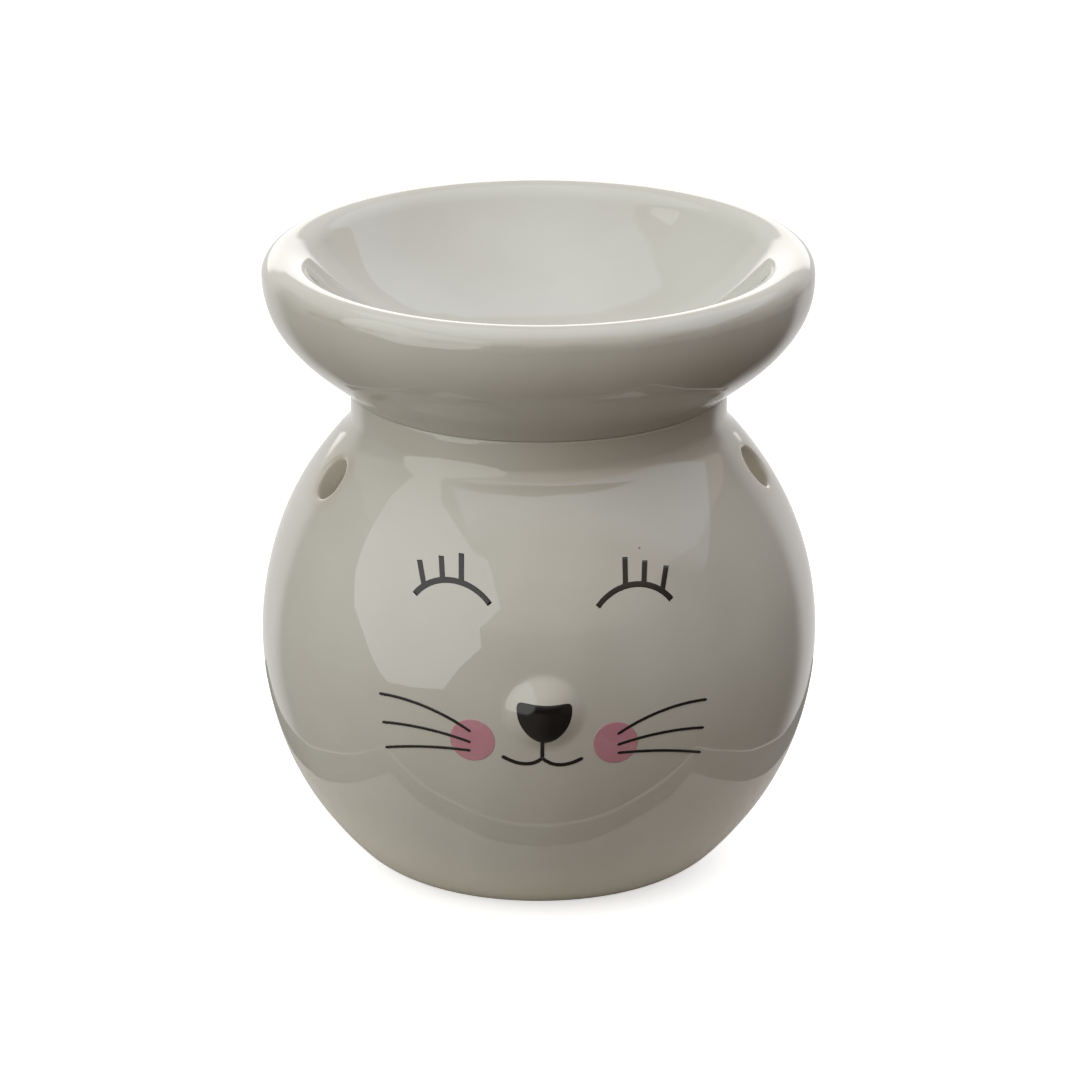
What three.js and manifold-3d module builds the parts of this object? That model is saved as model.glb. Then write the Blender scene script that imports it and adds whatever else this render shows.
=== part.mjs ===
// A ceramic oil burner. A round pot with a cat's face holds a tealight, which goes in through an arch at
// the back. The pot's neck carries a lift-off dish for water and scented oil. The face is a set of thin
// enamel transfers fired onto the glaze.
//
// Millimetres, +Z up. The origin is the centre of the flat base. The face looks along -Y, so +X is on the
// right of someone who looks at it, and the arch opens along +Y.

import * as THREE from 'three';
import { mergeVertices } from 'three/addons/utils/BufferGeometryUtils.js';
import Module from 'manifold-3d';

// Pot
const bellyRadius = 47.5; // at the widest ring
const bellyRise = 50.1; // half-height of the whole ellipse that the belly is a slice of
const baseRadius = 27.1; // where the belly's ellipse would reach the table
const baseRoundWidth = 3.2; // of the rounded edge of the flat base
const baseRoundHeight = 3;
const neckRadius = 32;
const neckHeight = 6; // above the ring where the belly's ellipse reaches the neck's radius
const neckBlend = 1.8; // half-height of the hollow curve between belly and neck
const neckEdgeRound = 0.5;
const neckWall = 4.5;
const potWall = 4;
const potFloor = 6;

// Vent holes, pierced square to the belly and a little unevenly, as by hand
const ventDiameter = 7.5;
const ventDrop = 6.5; // below the start of the neck
const ventLeftAzimuth = -71; // degrees from the face, towards +X
const ventRightAzimuth = 79.5;

// Raised nose
const noseReach = 2.2; // how far it stands out of the belly
const noseHalfWidth = 6.9;
const noseHalfHeight = 6.5;
const noseLift = 0.6; // its middle above the widest ring
const noseFall = 1.4; // power of its fade into the belly: 1 ends in a crease, 2 in a soft hollow

// Lift-off dish
const dishRadius = 47; // at its widest ring
const dishOverhang = 0.4; // of its foot over the neck
const dishFootRound = 0.6;
const dishSideHeight = 19.7; // from the seat to the widest ring
const dishFootSlope = 45; // degrees from level, of the side where it leaves the foot
const dishFootPull = 6; // how far the side's curve holds that slope
const dishSidePull = 10.6; // how far it stays upright under the widest ring
const lipWidth = 3.5; // from the widest ring in to the crest
const lipRise = 3.9; // from the widest ring up to the crest
const lipInnerRound = 5.8; // radius of the lip's round into the bowl
const bowlSteepness = 50; // degrees from level, where the lip's round meets the bowl
const bowlFloor = 4.3; // thickness over the seat
const bowlFlatRadius = 4;
const spigotDepth = 4;
const spigotWall = 3.5;
const spigotClearance = 0.5;

// Tealight
const cupRadius = 19;
const cupHeight = 14;
const cupWall = 0.5;
const cupCorner = 1; // chamfer round its underside
const cupRimWidth = 0.5;
const cupRimHeight = 0.6;
const waxHeight = 11;
const waxClearance = 0.2;
const wickRadius = 0.8;
const wickLength = 17;
const wickClearance = 0.2;
const sustainerRadius = 6.5;
const sustainerThickness = 0.5;
const sustainerTubeWall = 0.5;
const sustainerTubeHeight = 4.5;
const sustainerClearance = 0.2;

// Arch at the back, sized for the tealight that goes through it
const archSideRoom = 4;
const archHeadroom = 24.5; // over the wick
const archSpring = 19; // height of the upright sides over the floor
const archCornerRound = 3;

// Face, drawn as a front view: x to the right and heights from the belly's widest ring. Its two sides
// mirror each other, but the transfers were laid on along a line that falls a little to the right.
const faceFall = 0.026; // mm down for each mm to the right
const filmThickness = 0.2;
const filmGap = 0.1;
const eyeSpread = 15.2; // from the middle of the face to the middle of each eye
const eyeHeight = 21.2; // top of the lid line
const eyeHalfWidth = 6.2;
const eyeSag = 3.05;
const eyeStroke = 0.9;
const innerLashRoot = 13.65;
const innerLashTip = 13.6;
const innerLashTipHeight = 25.4;
const middleLashRoot = 16.75;
const middleLashTip = 16.95;
const middleLashTipHeight = 24.6;
const outerLashRoot = 19.85;
const outerLashTip = 20.6;
const outerLashTipHeight = 23.4;
const nosePrintHalfWidth = 4.55;
const nosePrintTop = 2.8;
const nosePrintHeight = 7.2;
const nosePrintDip = 0.15;
const mouthShift = -0.33; // of the whole mouth from the face's middle
const mouthGap = 0.2; // between the nose print and the stem under it
const mouthStroke = 0.65;
const mouthFork = -7.4; // height where the stem meets the two curves
const mouthDip = 2.95;
const mouthDipHeight = -8.6;
const mouthCorner = 6.8;
const mouthCornerHeight = -7.35;
const cheekSpread = 11.95;
const cheekHeight = -4.95;
const cheekRadius = 3.75;
const whiskerStroke = 0.5;
const whiskerRoot = 12.2;
const whiskerBend = 19.7;
const upperWhiskerRootHeight = -3.45;
const upperWhiskerBendHeight = -0.05;
const upperWhiskerTip = 27.5;
const upperWhiskerTipHeight = 0.55;
const middleWhiskerRootHeight = -5.35;
const middleWhiskerBendHeight = -4;
const middleWhiskerTip = 27;
const middleWhiskerTipHeight = -4.45;
const lowerWhiskerRootHeight = -6.85;
const lowerWhiskerBendHeight = -7.3;
const lowerWhiskerTip = 26.5;
const lowerWhiskerTipHeight = -9.05;

// Fineness of the facets
const latheSegments = 48;
const smallLatheSegments = 36;
const wickSegments = 12;
const ventSegments = 20;
const bellyRows = 8; // below the nose, and again above it
const bellyColumns = 42;
const noseRows = 12;
const noseColumns = 12;
const patchRings = 4;
const patchMiddle = 0.1; // share of a patch that its middle fan covers
const chamberRows = 12;
const curveSteps = 8;
const edgeSteps = 4;

// Places that follow from the sizes
const bellyHeight = bellyRise * Math.sqrt(1 - (baseRadius / bellyRadius) ** 2);
const neckStart = bellyHeight + bellyRise * Math.sqrt(1 - (neckRadius / bellyRadius) ** 2);
const potHeight = neckStart + neckHeight;
const neckBore = neckRadius - neckWall;
const blendReach = Math.min(neckBlend, neckHeight - neckEdgeRound);
const noseHeight = bellyHeight + noseLift;
const cupFloor = potFloor + cupWall;

const wasm = await Module();
wasm.setup();

// A closed mesh as a solid for joining and cutting
function solidOf(geometry) {
  const bare = geometry.clone();
  bare.deleteAttribute('normal');
  bare.deleteAttribute('uv');
  const merged = mergeVertices(bare);
  const corners = merged.index.array;
  const triangles = [];
  for (let i = 0; i < corners.length; i += 3) {
    const [a, b, c] = corners.slice(i, i + 3);
    if (a !== b && b !== c && c !== a) triangles.push(a, b, c);
  }
  const mesh = new wasm.Mesh({
    numProp: 3,
    vertProperties: new Float32Array(merged.attributes.position.array),
    triVerts: new Uint32Array(triangles),
  });
  return new wasm.Manifold(mesh);
}

function geometryOf(solid) {
  const mesh = solid.getMesh();
  const geometry = new THREE.BufferGeometry();
  geometry.setAttribute('position', new THREE.BufferAttribute(mesh.vertProperties, mesh.numProp));
  geometry.setIndex(new THREE.BufferAttribute(mesh.triVerts, 1));
  geometry.computeVertexNormals();
  return geometry;
}

// Evenly spaced values from start to end, both included
function spread(start, end, count) {
  return Array.from({ length: count }, (_, i) => start + ((end - start) * i) / (count - 1));
}

// Points on an elliptical arc in the profile plane, angles in degrees from +r towards +z
function arc(centreR, centreZ, radiusR, radiusZ, from, to, count) {
  return spread(from, to, count).map((degrees) => {
    const angle = THREE.MathUtils.degToRad(degrees);
    return new THREE.Vector2(centreR + radiusR * Math.cos(angle), centreZ + radiusZ * Math.sin(angle));
  });
}

// A profile of (radius, height) points turned about +Z; the outside runs upwards
function turned(profile, segments) {
  const geometry = new THREE.LatheGeometry(profile, segments);
  geometry.rotateX(Math.PI / 2);
  return geometry;
}

// A skin over rings of points, closed at both ends by fans; seen from the last ring's end, each ring
// goes round anticlockwise
function lofted(rings) {
  const around = rings[0].length;
  const points = rings.flat();
  const faces = [];
  for (let row = 0; row + 1 < rings.length; row++) {
    for (let i = 0; i < around; i++) {
      const a = row * around + i;
      const b = row * around + ((i + 1) % around);
      faces.push(a, b, a + around, b, b + around, a + around);
    }
  }
  const last = points.length - around;
  const middle = (ring) => ring.reduce((sum, p) => sum.add(p), new THREE.Vector3()).divideScalar(around);
  points.push(middle(rings[0]), middle(rings[rings.length - 1]));
  for (let i = 0; i < around; i++) {
    const next = (i + 1) % around;
    faces.push(points.length - 2, next, i);
    faces.push(points.length - 1, last + i, last + next);
  }
  const geometry = new THREE.BufferGeometry().setFromPoints(points);
  geometry.setIndex(faces);
  geometry.computeVertexNormals();
  return geometry;
}

// Radius of the belly's ellipse at a height
function ellipseRadius(height) {
  return bellyRadius * Math.sqrt(1 - ((height - bellyHeight) / bellyRise) ** 2);
}

// Radius of the plain pot at a height: the rounded base edge, the ellipse, and the hollow curve up to the
// upright neck
function plainRadius(height) {
  if (height < baseRoundHeight) {
    const t = Math.sqrt(height / baseRoundHeight);
    const inside = (1 - t) * (baseRadius - baseRoundWidth) + t * baseRadius;
    const outside = (1 - t) * baseRadius + t * ellipseRadius(baseRoundHeight);
    return (1 - t) * inside + t * outside;
  }
  const blendStart = neckStart - blendReach;
  const radius = ellipseRadius(Math.min(height, blendStart));
  const rise = THREE.MathUtils.clamp((height - blendStart) / (2 * blendReach), 0, 1);
  return neckRadius + (radius - neckRadius) * (1 - rise) ** 2;
}

// How far the nose stands out at a place of the front view
function noseSwell(x, height) {
  const distance = (x / noseHalfWidth) ** 2 + ((height - noseHeight) / noseHalfHeight) ** 2;
  return noseReach * Math.max(0, 1 - distance) ** noseFall;
}

// The pot's outer surface; azimuth in degrees from the face, lift outwards from the glaze
function potSurface(azimuth, height, lift = 0) {
  const angle = THREE.MathUtils.degToRad(azimuth);
  const plain = plainRadius(height);
  const swell = Math.cos(angle) > 0 ? noseSwell(plain * Math.sin(angle), height) : 0;
  const radius = plain + swell + lift;
  return new THREE.Vector3(radius * Math.sin(angle), -radius * Math.cos(angle), height);
}

function potBlank() {
  const noseSpan = THREE.MathUtils.radToDeg(Math.asin(noseHalfWidth / bellyRadius));
  const azimuths = [
    ...spread(-noseSpan, noseSpan, noseColumns).slice(0, -1),
    ...spread(noseSpan, 360 - noseSpan, bellyColumns).slice(0, -1),
  ];
  const noseLow = noseHeight - noseHalfHeight;
  const noseHigh = noseHeight + noseHalfHeight;
  const heights = [
    ...spread(0, 1, edgeSteps).map((t) => baseRoundHeight * t ** 2),
    ...spread(baseRoundHeight, noseLow, bellyRows).slice(1),
    ...spread(noseLow, noseHigh, noseRows).slice(1),
    ...spread(noseHigh, neckStart - blendReach, bellyRows).slice(1),
    ...spread(neckStart - blendReach, neckStart + blendReach, curveSteps).slice(1),
  ];
  const rings = heights.map((height) => azimuths.map((azimuth) => potSurface(azimuth, height)));
  const round = neckEdgeRound;
  const edge = arc(neckRadius - round, potHeight - round, round, round, 0, 90, edgeSteps);
  for (const { x: radius, y: height } of edge) {
    const scale = radius / neckRadius;
    rings.push(azimuths.map((azimuth) => {
      const point = potSurface(azimuth, potHeight);
      return new THREE.Vector3(point.x * scale, point.y * scale, height);
    }));
  }
  return lofted(rings);
}

// The hollow inside: a flat floor, walls that follow the belly, and the bore of the neck
function chamber() {
  const innerRadius = bellyRadius - potWall;
  const innerRise = bellyRise - potWall;
  const floorAngle = THREE.MathUtils.radToDeg(Math.asin((potFloor - bellyHeight) / innerRise));
  const boreAngle = THREE.MathUtils.radToDeg(Math.acos(neckBore / innerRadius));
  const above = potHeight + potWall;
  return turned([
    new THREE.Vector2(0, potFloor),
    ...arc(0, bellyHeight, innerRadius, innerRise, floorAngle, boreAngle, chamberRows),
    new THREE.Vector2(neckBore, above),
    new THREE.Vector2(0, above),
  ], latheSegments);
}

// The arch, from the middle of the chamber out through the back wall, with its sill level with the floor
function archCut() {
  const halfWidth = cupRadius + archSideRoom;
  const height = cupWall + wickLength + archHeadroom;
  const outline = new THREE.Shape();
  outline.moveTo(-halfWidth + archCornerRound, 0);
  outline.lineTo(halfWidth - archCornerRound, 0);
  outline.absarc(halfWidth - archCornerRound, archCornerRound, archCornerRound, -Math.PI / 2, 0);
  outline.absellipse(0, archSpring, halfWidth, height - archSpring, 0, Math.PI);
  outline.absarc(archCornerRound - halfWidth, archCornerRound, archCornerRound, Math.PI, 1.5 * Math.PI);
  const depth = 2 * bellyRadius;
  const options = { depth, bevelEnabled: false, curveSegments: curveSteps };
  const geometry = new THREE.ExtrudeGeometry(outline, options);
  geometry.rotateX(Math.PI / 2);
  geometry.translate(0, depth, potFloor);
  return geometry;
}

// A round cutter square to the belly
function ventCut(azimuth) {
  const height = neckStart - ventDrop;
  const centre = potSurface(azimuth, height);
  const steepness = (height - bellyHeight) / bellyRise ** 2;
  const outward = new THREE.Vector3(centre.x, centre.y, 0).divideScalar(bellyRadius ** 2);
  outward.setZ(steepness).normalize();
  const reach = 4 * potWall; // half of it inwards and half outwards
  const geometry = new THREE.CylinderGeometry(ventDiameter / 2, ventDiameter / 2, reach, ventSegments);
  geometry.applyQuaternion(new THREE.Quaternion().setFromUnitVectors(new THREE.Vector3(0, 1, 0), outward));
  geometry.translate(centre.x, centre.y, centre.z);
  return geometry;
}

function potGeometry() {
  const cuts = [chamber(), archCut(), ventCut(ventLeftAzimuth), ventCut(ventRightAzimuth)];
  return geometryOf(cuts.reduce((pot, cut) => pot.subtract(solidOf(cut)), solidOf(potBlank())));
}

// The dish with its seat at height 0: spigot, foot, elliptical side, rounded lip and bowl
function dishGeometry() {
  const footRadius = neckRadius + dishOverhang;
  const widest = dishSideHeight;
  const slope = THREE.MathUtils.degToRad(dishFootSlope);
  const crestRadius = dishRadius - lipWidth;
  const crest = widest + lipRise;
  const spigotRadius = neckBore - spigotClearance;
  const spigotInside = spigotRadius - spigotWall;
  const round = dishFootRound;
  const footEdge = arc(footRadius - round, round, round, round, -90, dishFootSlope - 90, edgeSteps);
  const sideStart = footEdge.at(-1);
  const side = new THREE.CubicBezierCurve(
    sideStart,
    new THREE.Vector2(Math.cos(slope), Math.sin(slope)).multiplyScalar(dishFootPull).add(sideStart),
    new THREE.Vector2(dishRadius, widest - dishSidePull),
    new THREE.Vector2(dishRadius, widest),
  );
  const lip = arc(crestRadius, widest, lipWidth, lipRise, 0, 90, curveSteps);
  const inner = lipInnerRound;
  const lipInside = arc(crestRadius, crest - inner, inner, inner, 90, 90 + bowlSteepness, curveSteps);
  const bowlEdge = lipInside.at(-1);
  const bowlRun = (bowlEdge.y - bowlFloor) / Math.tan(THREE.MathUtils.degToRad(bowlSteepness));
  const bowlBend = new THREE.Vector2(bowlEdge.x - bowlRun, bowlFloor);
  const bowlFlat = new THREE.Vector2(bowlFlatRadius, bowlFloor);
  const bowl = new THREE.QuadraticBezierCurve(bowlEdge, bowlBend, bowlFlat);
  return turned([
    new THREE.Vector2(0, 0),
    new THREE.Vector2(spigotInside, 0),
    new THREE.Vector2(spigotInside, -spigotDepth),
    new THREE.Vector2(spigotRadius, -spigotDepth),
    new THREE.Vector2(spigotRadius, 0),
    ...footEdge,
    ...side.getPoints(curveSteps).slice(1),
    ...lip.slice(1),
    ...lipInside.slice(1),
    ...bowl.getPoints(curveSteps).slice(1),
    new THREE.Vector2(0, bowlFloor),
  ], latheSegments);
}

// The tealight's pieces, with the cup's underside at height 0
function cupGeometry() {
  const inside = cupRadius - cupWall;
  const insideCorner = cupCorner - cupWall / 2;
  return turned([
    new THREE.Vector2(0, 0),
    new THREE.Vector2(cupRadius - cupCorner, 0),
    new THREE.Vector2(cupRadius, cupCorner),
    new THREE.Vector2(cupRadius, cupHeight - cupRimHeight),
    new THREE.Vector2(cupRadius + cupRimWidth, cupHeight - cupRimHeight),
    new THREE.Vector2(cupRadius + cupRimWidth, cupHeight),
    new THREE.Vector2(inside, cupHeight),
    new THREE.Vector2(inside, cupWall + insideCorner),
    new THREE.Vector2(inside - insideCorner, cupWall),
    new THREE.Vector2(0, cupWall),
  ], latheSegments);
}

const tubeInside = wickRadius + wickClearance;
const tubeOutside = tubeInside + sustainerTubeWall;

function waxGeometry() {
  const radius = cupRadius - cupWall - waxClearance;
  const plateRoom = sustainerRadius + sustainerClearance;
  const plateTop = sustainerThickness + sustainerClearance;
  const tubeRoom = tubeOutside + sustainerClearance;
  const tubeTop = sustainerTubeHeight + sustainerClearance;
  return turned([
    new THREE.Vector2(plateRoom, 0),
    new THREE.Vector2(radius - cupCorner, 0),
    new THREE.Vector2(radius, cupCorner),
    new THREE.Vector2(radius, waxHeight),
    new THREE.Vector2(tubeInside, waxHeight),
    new THREE.Vector2(tubeInside, tubeTop),
    new THREE.Vector2(tubeRoom, tubeTop),
    new THREE.Vector2(tubeRoom, plateTop),
    new THREE.Vector2(plateRoom, plateTop),
    new THREE.Vector2(plateRoom, 0),
  ], smallLatheSegments);
}

function sustainerGeometry() {
  return turned([
    new THREE.Vector2(tubeInside, 0),
    new THREE.Vector2(sustainerRadius, 0),
    new THREE.Vector2(sustainerRadius, sustainerThickness),
    new THREE.Vector2(tubeOutside, sustainerThickness),
    new THREE.Vector2(tubeOutside, sustainerTubeHeight),
    new THREE.Vector2(tubeInside, sustainerTubeHeight),
    new THREE.Vector2(tubeInside, 0),
  ], smallLatheSegments);
}

function wickGeometry() {
  const tip = wickRadius / 2;
  return turned([
    new THREE.Vector2(0, 0),
    new THREE.Vector2(wickRadius, 0),
    new THREE.Vector2(wickRadius, wickLength - tip),
    new THREE.Vector2(wickRadius - tip, wickLength),
    new THREE.Vector2(0, wickLength),
  ], wickSegments);
}

// A place of the face's front view, laid on the pot
function onFace(point, lift) {
  const height = bellyHeight + point.y - faceFall * point.x;
  const sine = THREE.MathUtils.clamp(point.x / plainRadius(height), -1, 1);
  return potSurface(THREE.MathUtils.radToDeg(Math.asin(sine)), height, lift);
}

// A brush line of even width along a flat curve of the front view
function brushLine(curve, width, lift) {
  const rings = spread(0, 1, curveSteps + 1).map((t) => {
    const middle = curve.getPoint(t);
    const along = curve.getTangent(t);
    const across = new THREE.Vector2(-along.y, along.x).multiplyScalar(width / 2);
    const left = middle.clone().add(across);
    const right = middle.clone().sub(across);
    const top = lift + filmThickness;
    return [onFace(right, lift), onFace(left, lift), onFace(left, top), onFace(right, top)];
  });
  return lofted(rings);
}

// A filled patch inside an anticlockwise outline of the front view, in rings so that it follows the pot
function filledPatch(outline, centre) {
  const shares = spread(patchMiddle, 1, patchRings);
  const ring = (share, lift) =>
    outline.map((point) => onFace(new THREE.Vector2().lerpVectors(centre, point, share), lift));
  const top = filmGap + filmThickness;
  const under = shares.map((share) => ring(share, filmGap));
  const over = shares.map((share) => ring(share, top)).reverse();
  return lofted([...under, ...over]);
}

const mirrored = (side, x, height) => new THREE.Vector2(side * x, height);

const lashes = [
  [innerLashRoot, innerLashTip, innerLashTipHeight],
  [middleLashRoot, middleLashTip, middleLashTipHeight],
  [outerLashRoot, outerLashTip, outerLashTipHeight],
];

function eyeGeometry(side) {
  const lidRadius = (eyeHalfWidth ** 2 + eyeSag ** 2) / (2 * eyeSag);
  const lidSpan = Math.asin(eyeHalfWidth / lidRadius);
  const lidCentre = eyeHeight - lidRadius;
  const lid = new THREE.EllipseCurve(
    side * eyeSpread, lidCentre, lidRadius, lidRadius, Math.PI / 2 - lidSpan, Math.PI / 2 + lidSpan,
  );
  const lashLines = lashes.map(([root, tip, tipHeight]) => {
    const rootHeight = lidCentre + Math.sqrt(lidRadius ** 2 - (root - eyeSpread) ** 2);
    return new THREE.LineCurve(mirrored(side, root, rootHeight), mirrored(side, tip, tipHeight));
  });
  const strokes = [lid, ...lashLines].map((line) => solidOf(brushLine(line, eyeStroke, filmGap)));
  return geometryOf(strokes.reduce((eye, stroke) => eye.add(stroke)));
}

// The nose's outline is drawn from the middle of its top, with places as shares of its half-width and height
function noseGeometry() {
  const at = (across, down) =>
    new THREE.Vector2(across * nosePrintHalfWidth, nosePrintTop - down * nosePrintHeight);
  const dip = nosePrintDip / nosePrintHeight;
  const curves = [
    new THREE.CubicBezierCurve(at(0, dip), at(0.4, dip), at(0.55, 0), at(0.8, 0)),
    new THREE.CubicBezierCurve(at(0.8, 0), at(0.95, 0), at(1, 0.06), at(1, 0.16)),
    new THREE.CubicBezierCurve(at(1, 0.16), at(1, 0.6), at(0.45, 1), at(0, 1)),
  ];
  const rightSide = [at(0, dip), ...curves.flatMap((curve) => curve.getPoints(edgeSteps).slice(1))];
  const leftSide = rightSide.map((point) => mirrored(-1, point.x, point.y));
  const around = [...leftSide, ...rightSide.slice(1, -1).reverse()];
  return filledPatch(around, at(0, 0.5));
}

function mouthGeometry() {
  const fork = new THREE.Vector2(mouthShift, mouthFork);
  const stemTop = new THREE.Vector2(mouthShift, nosePrintTop - nosePrintHeight - mouthGap);
  const curves = [-1, 1].map((side) => new THREE.SplineCurve([
    fork,
    new THREE.Vector2(mouthShift + side * mouthDip, mouthDipHeight),
    new THREE.Vector2(mouthShift + side * mouthCorner, mouthCornerHeight),
  ]));
  const lines = [new THREE.LineCurve(stemTop, fork), ...curves];
  const strokes = lines.map((line) => solidOf(brushLine(line, mouthStroke, filmGap)));
  return geometryOf(strokes.reduce((mouth, stroke) => mouth.add(stroke)));
}

function cheekGeometry(side) {
  const centre = mirrored(side, cheekSpread, cheekHeight);
  const circle = new THREE.EllipseCurve(centre.x, centre.y, cheekRadius, cheekRadius);
  return filledPatch(circle.getPoints(3 * curveSteps).slice(1), centre);
}

const whiskers = {
  upper_whisker: [
    upperWhiskerRootHeight, upperWhiskerBendHeight, upperWhiskerTip, upperWhiskerTipHeight,
  ],
  middle_whisker: [
    middleWhiskerRootHeight, middleWhiskerBendHeight, middleWhiskerTip, middleWhiskerTipHeight,
  ],
  lower_whisker: [
    lowerWhiskerRootHeight, lowerWhiskerBendHeight, lowerWhiskerTip, lowerWhiskerTipHeight,
  ],
};

// The whiskers are printed over the cheeks, so they lie one film higher
function whiskerGeometry(side, [rootHeight, bendHeight, tip, tipHeight]) {
  const curve = new THREE.SplineCurve([
    mirrored(side, whiskerRoot, rootHeight),
    mirrored(side, whiskerBend, bendHeight),
    mirrored(side, tip, tipHeight),
  ]);
  return brushLine(curve, whiskerStroke, 2 * filmGap + filmThickness);
}

const glaze = new THREE.MeshStandardMaterial({ color: 0xd8d4ca, roughness: 0.15, metalness: 0 });
const blackEnamel = new THREE.MeshStandardMaterial({ color: 0x16130f, roughness: 0.25, metalness: 0 });
const pinkEnamel = new THREE.MeshStandardMaterial({ color: 0xc88694, roughness: 0.25, metalness: 0 });
const aluminium = new THREE.MeshStandardMaterial({ color: 0xc9cbcd, roughness: 0.35, metalness: 1 });
const tinplate = new THREE.MeshStandardMaterial({ color: 0xa9a9a6, roughness: 0.4, metalness: 1 });
const wax = new THREE.MeshStandardMaterial({ color: 0xf2efe6, roughness: 0.5, metalness: 0 });
const cotton = new THREE.MeshStandardMaterial({ color: 0xe9e3d3, roughness: 0.9, metalness: 0 });

function piece(name, geometry, material, height = 0) {
  const mesh = new THREE.Mesh(geometry, material);
  mesh.name = name;
  mesh.position.z = height;
  return mesh;
}

const tealight = new THREE.Group();
tealight.add(
  piece('tealight_cup', cupGeometry(), aluminium, potFloor),
  piece('tealight_wax', waxGeometry(), wax, cupFloor),
  piece('wick_sustainer', sustainerGeometry(), tinplate, cupFloor),
  piece('wick', wickGeometry(), cotton, cupFloor),
);

const face = new THREE.Group();
face.add(piece('nose_print', noseGeometry(), blackEnamel));
face.add(piece('mouth_print', mouthGeometry(), blackEnamel));
for (const [sideName, side] of [['left', -1], ['right', 1]]) {
  face.add(piece(`${sideName}_eye_print`, eyeGeometry(side), blackEnamel));
  face.add(piece(`${sideName}_cheek_print`, cheekGeometry(side), pinkEnamel));
  for (const [name, places] of Object.entries(whiskers)) {
    face.add(piece(`${sideName}_${name}`, whiskerGeometry(side, places), blackEnamel));
  }
}

const burner = new THREE.Group();
burner.add(piece('pot', potGeometry(), glaze), face, tealight);
burner.add(piece('oil_dish', dishGeometry(), glaze, potHeight));

export default burner;
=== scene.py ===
# %% [markdown]
# # A ceramic oil burner with a sleepy cat's face
# A round pot holds a tealight, and a dish on its neck warms water and scented oil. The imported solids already
# fix every size and every joint. This lesson lays finely worked surfaces over them: the slip-cast pot, its
# dish, the transfers of the face and the tealight inside, each with the finish that the real piece has.

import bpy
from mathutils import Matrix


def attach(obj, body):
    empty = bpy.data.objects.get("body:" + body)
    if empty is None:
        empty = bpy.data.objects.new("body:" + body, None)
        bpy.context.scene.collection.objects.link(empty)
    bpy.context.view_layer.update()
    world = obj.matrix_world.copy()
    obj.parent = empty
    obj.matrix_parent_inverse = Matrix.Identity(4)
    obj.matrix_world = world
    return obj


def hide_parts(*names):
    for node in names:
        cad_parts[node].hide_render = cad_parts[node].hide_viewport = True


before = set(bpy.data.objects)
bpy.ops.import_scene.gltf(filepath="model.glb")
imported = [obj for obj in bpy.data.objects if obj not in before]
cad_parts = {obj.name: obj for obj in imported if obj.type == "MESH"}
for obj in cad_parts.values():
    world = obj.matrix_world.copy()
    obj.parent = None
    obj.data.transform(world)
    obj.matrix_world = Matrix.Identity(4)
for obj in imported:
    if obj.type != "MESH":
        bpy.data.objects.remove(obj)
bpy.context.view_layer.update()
print("solids:", ", ".join(sorted(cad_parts)))

# %% Tools of the lesson
import math

import bmesh
import bpy
import numpy as np
from mathutils import Vector

MM = 0.001  # sizes below are in millimetres, as on a potter's drawing, and Blender works in metres
scene = bpy.context.scene


def compass(bearing, rise):
    """Unit vectors of a direction turned from the face towards +X and then raised: along it, to its right, and up."""
    sin_turn, cos_turn, sin_rise, cos_rise = math.sin(bearing), math.cos(bearing), math.sin(rise), math.cos(rise)
    along = np.array((sin_turn * cos_rise, -cos_turn * cos_rise, sin_rise))
    return along, np.array((cos_turn, sin_turn, 0)), np.array((-sin_turn * sin_rise, cos_turn * sin_rise, cos_rise))


def fade(value, start, end):
    """A straight rise from 0 at start to 1 at end, where start may be the larger."""
    return np.clip((value - start) / (end - start), 0, 1)


print("Blender", bpy.app.version_string)

# %% [markdown]
# ## Camera
# The photograph looks down on the burner from about 18 degrees, from far away with a long lens, so that the
# rim's ellipse hardly widens towards the front. A wide lens close by would show the same rim much rounder.
# The burner is turned by one degree, and the camera takes up that turn, because the pieces stay where they are.

# %% Camera
CAMERA_TURN = math.radians(-1.1)
CAMERA_RISE = math.radians(18.5)
CAMERA_DISTANCE = 1.4
CAMERA_LENS = 273.1
CAMERA_AIM = Vector((0.0002, 0.0, 0.0563))

towards_camera = Vector(compass(CAMERA_TURN, CAMERA_RISE)[0])
camera = bpy.data.objects.new("product_camera", bpy.data.cameras.new("product_camera"))
camera.data.lens = CAMERA_LENS
camera.location = CAMERA_AIM + CAMERA_DISTANCE * towards_camera
camera.rotation_euler = towards_camera.to_track_quat("Z", "Y").to_euler()
scene.collection.objects.link(camera)
scene.camera = camera
print("camera at", [round(x, 3) for x in camera.location])

# %% [markdown]
# ## From arrays to a mesh
# Every piece below is a grid of points, worked out as one numpy array. Blender could also spin or screw a
# drawn profile, but an array lets a formula move each point, and it is the same on every run. The grid's last
# column joins its first, and points that fall together, as at the poles of a turned shape, are merged.

# %% Grids and meshes
def grid_quads(rows, columns):
    """Corner numbers of the quads of a grid that closes on itself sideways.

    Corner (row, column) has the number row * columns + column. A quad runs along its row and then up, so it
    faces outwards where columns go round anticlockwise seen from above and rows climb.
    """
    row, column = np.arange(rows - 1)[:, None] * columns, np.arange(columns)[None, :]
    after = (column + 1) % columns
    return np.stack((row + column, row + after, row + columns + after, row + columns + column), -1).reshape(-1, 4)


def join(points, quads):
    """The points of several meshes in one array, and their quads with new corner numbers."""
    starts = np.cumsum([0] + [len(part) for part in points])
    return np.concatenate(points), np.concatenate([part + start for part, start in zip(quads, starts)])


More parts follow.
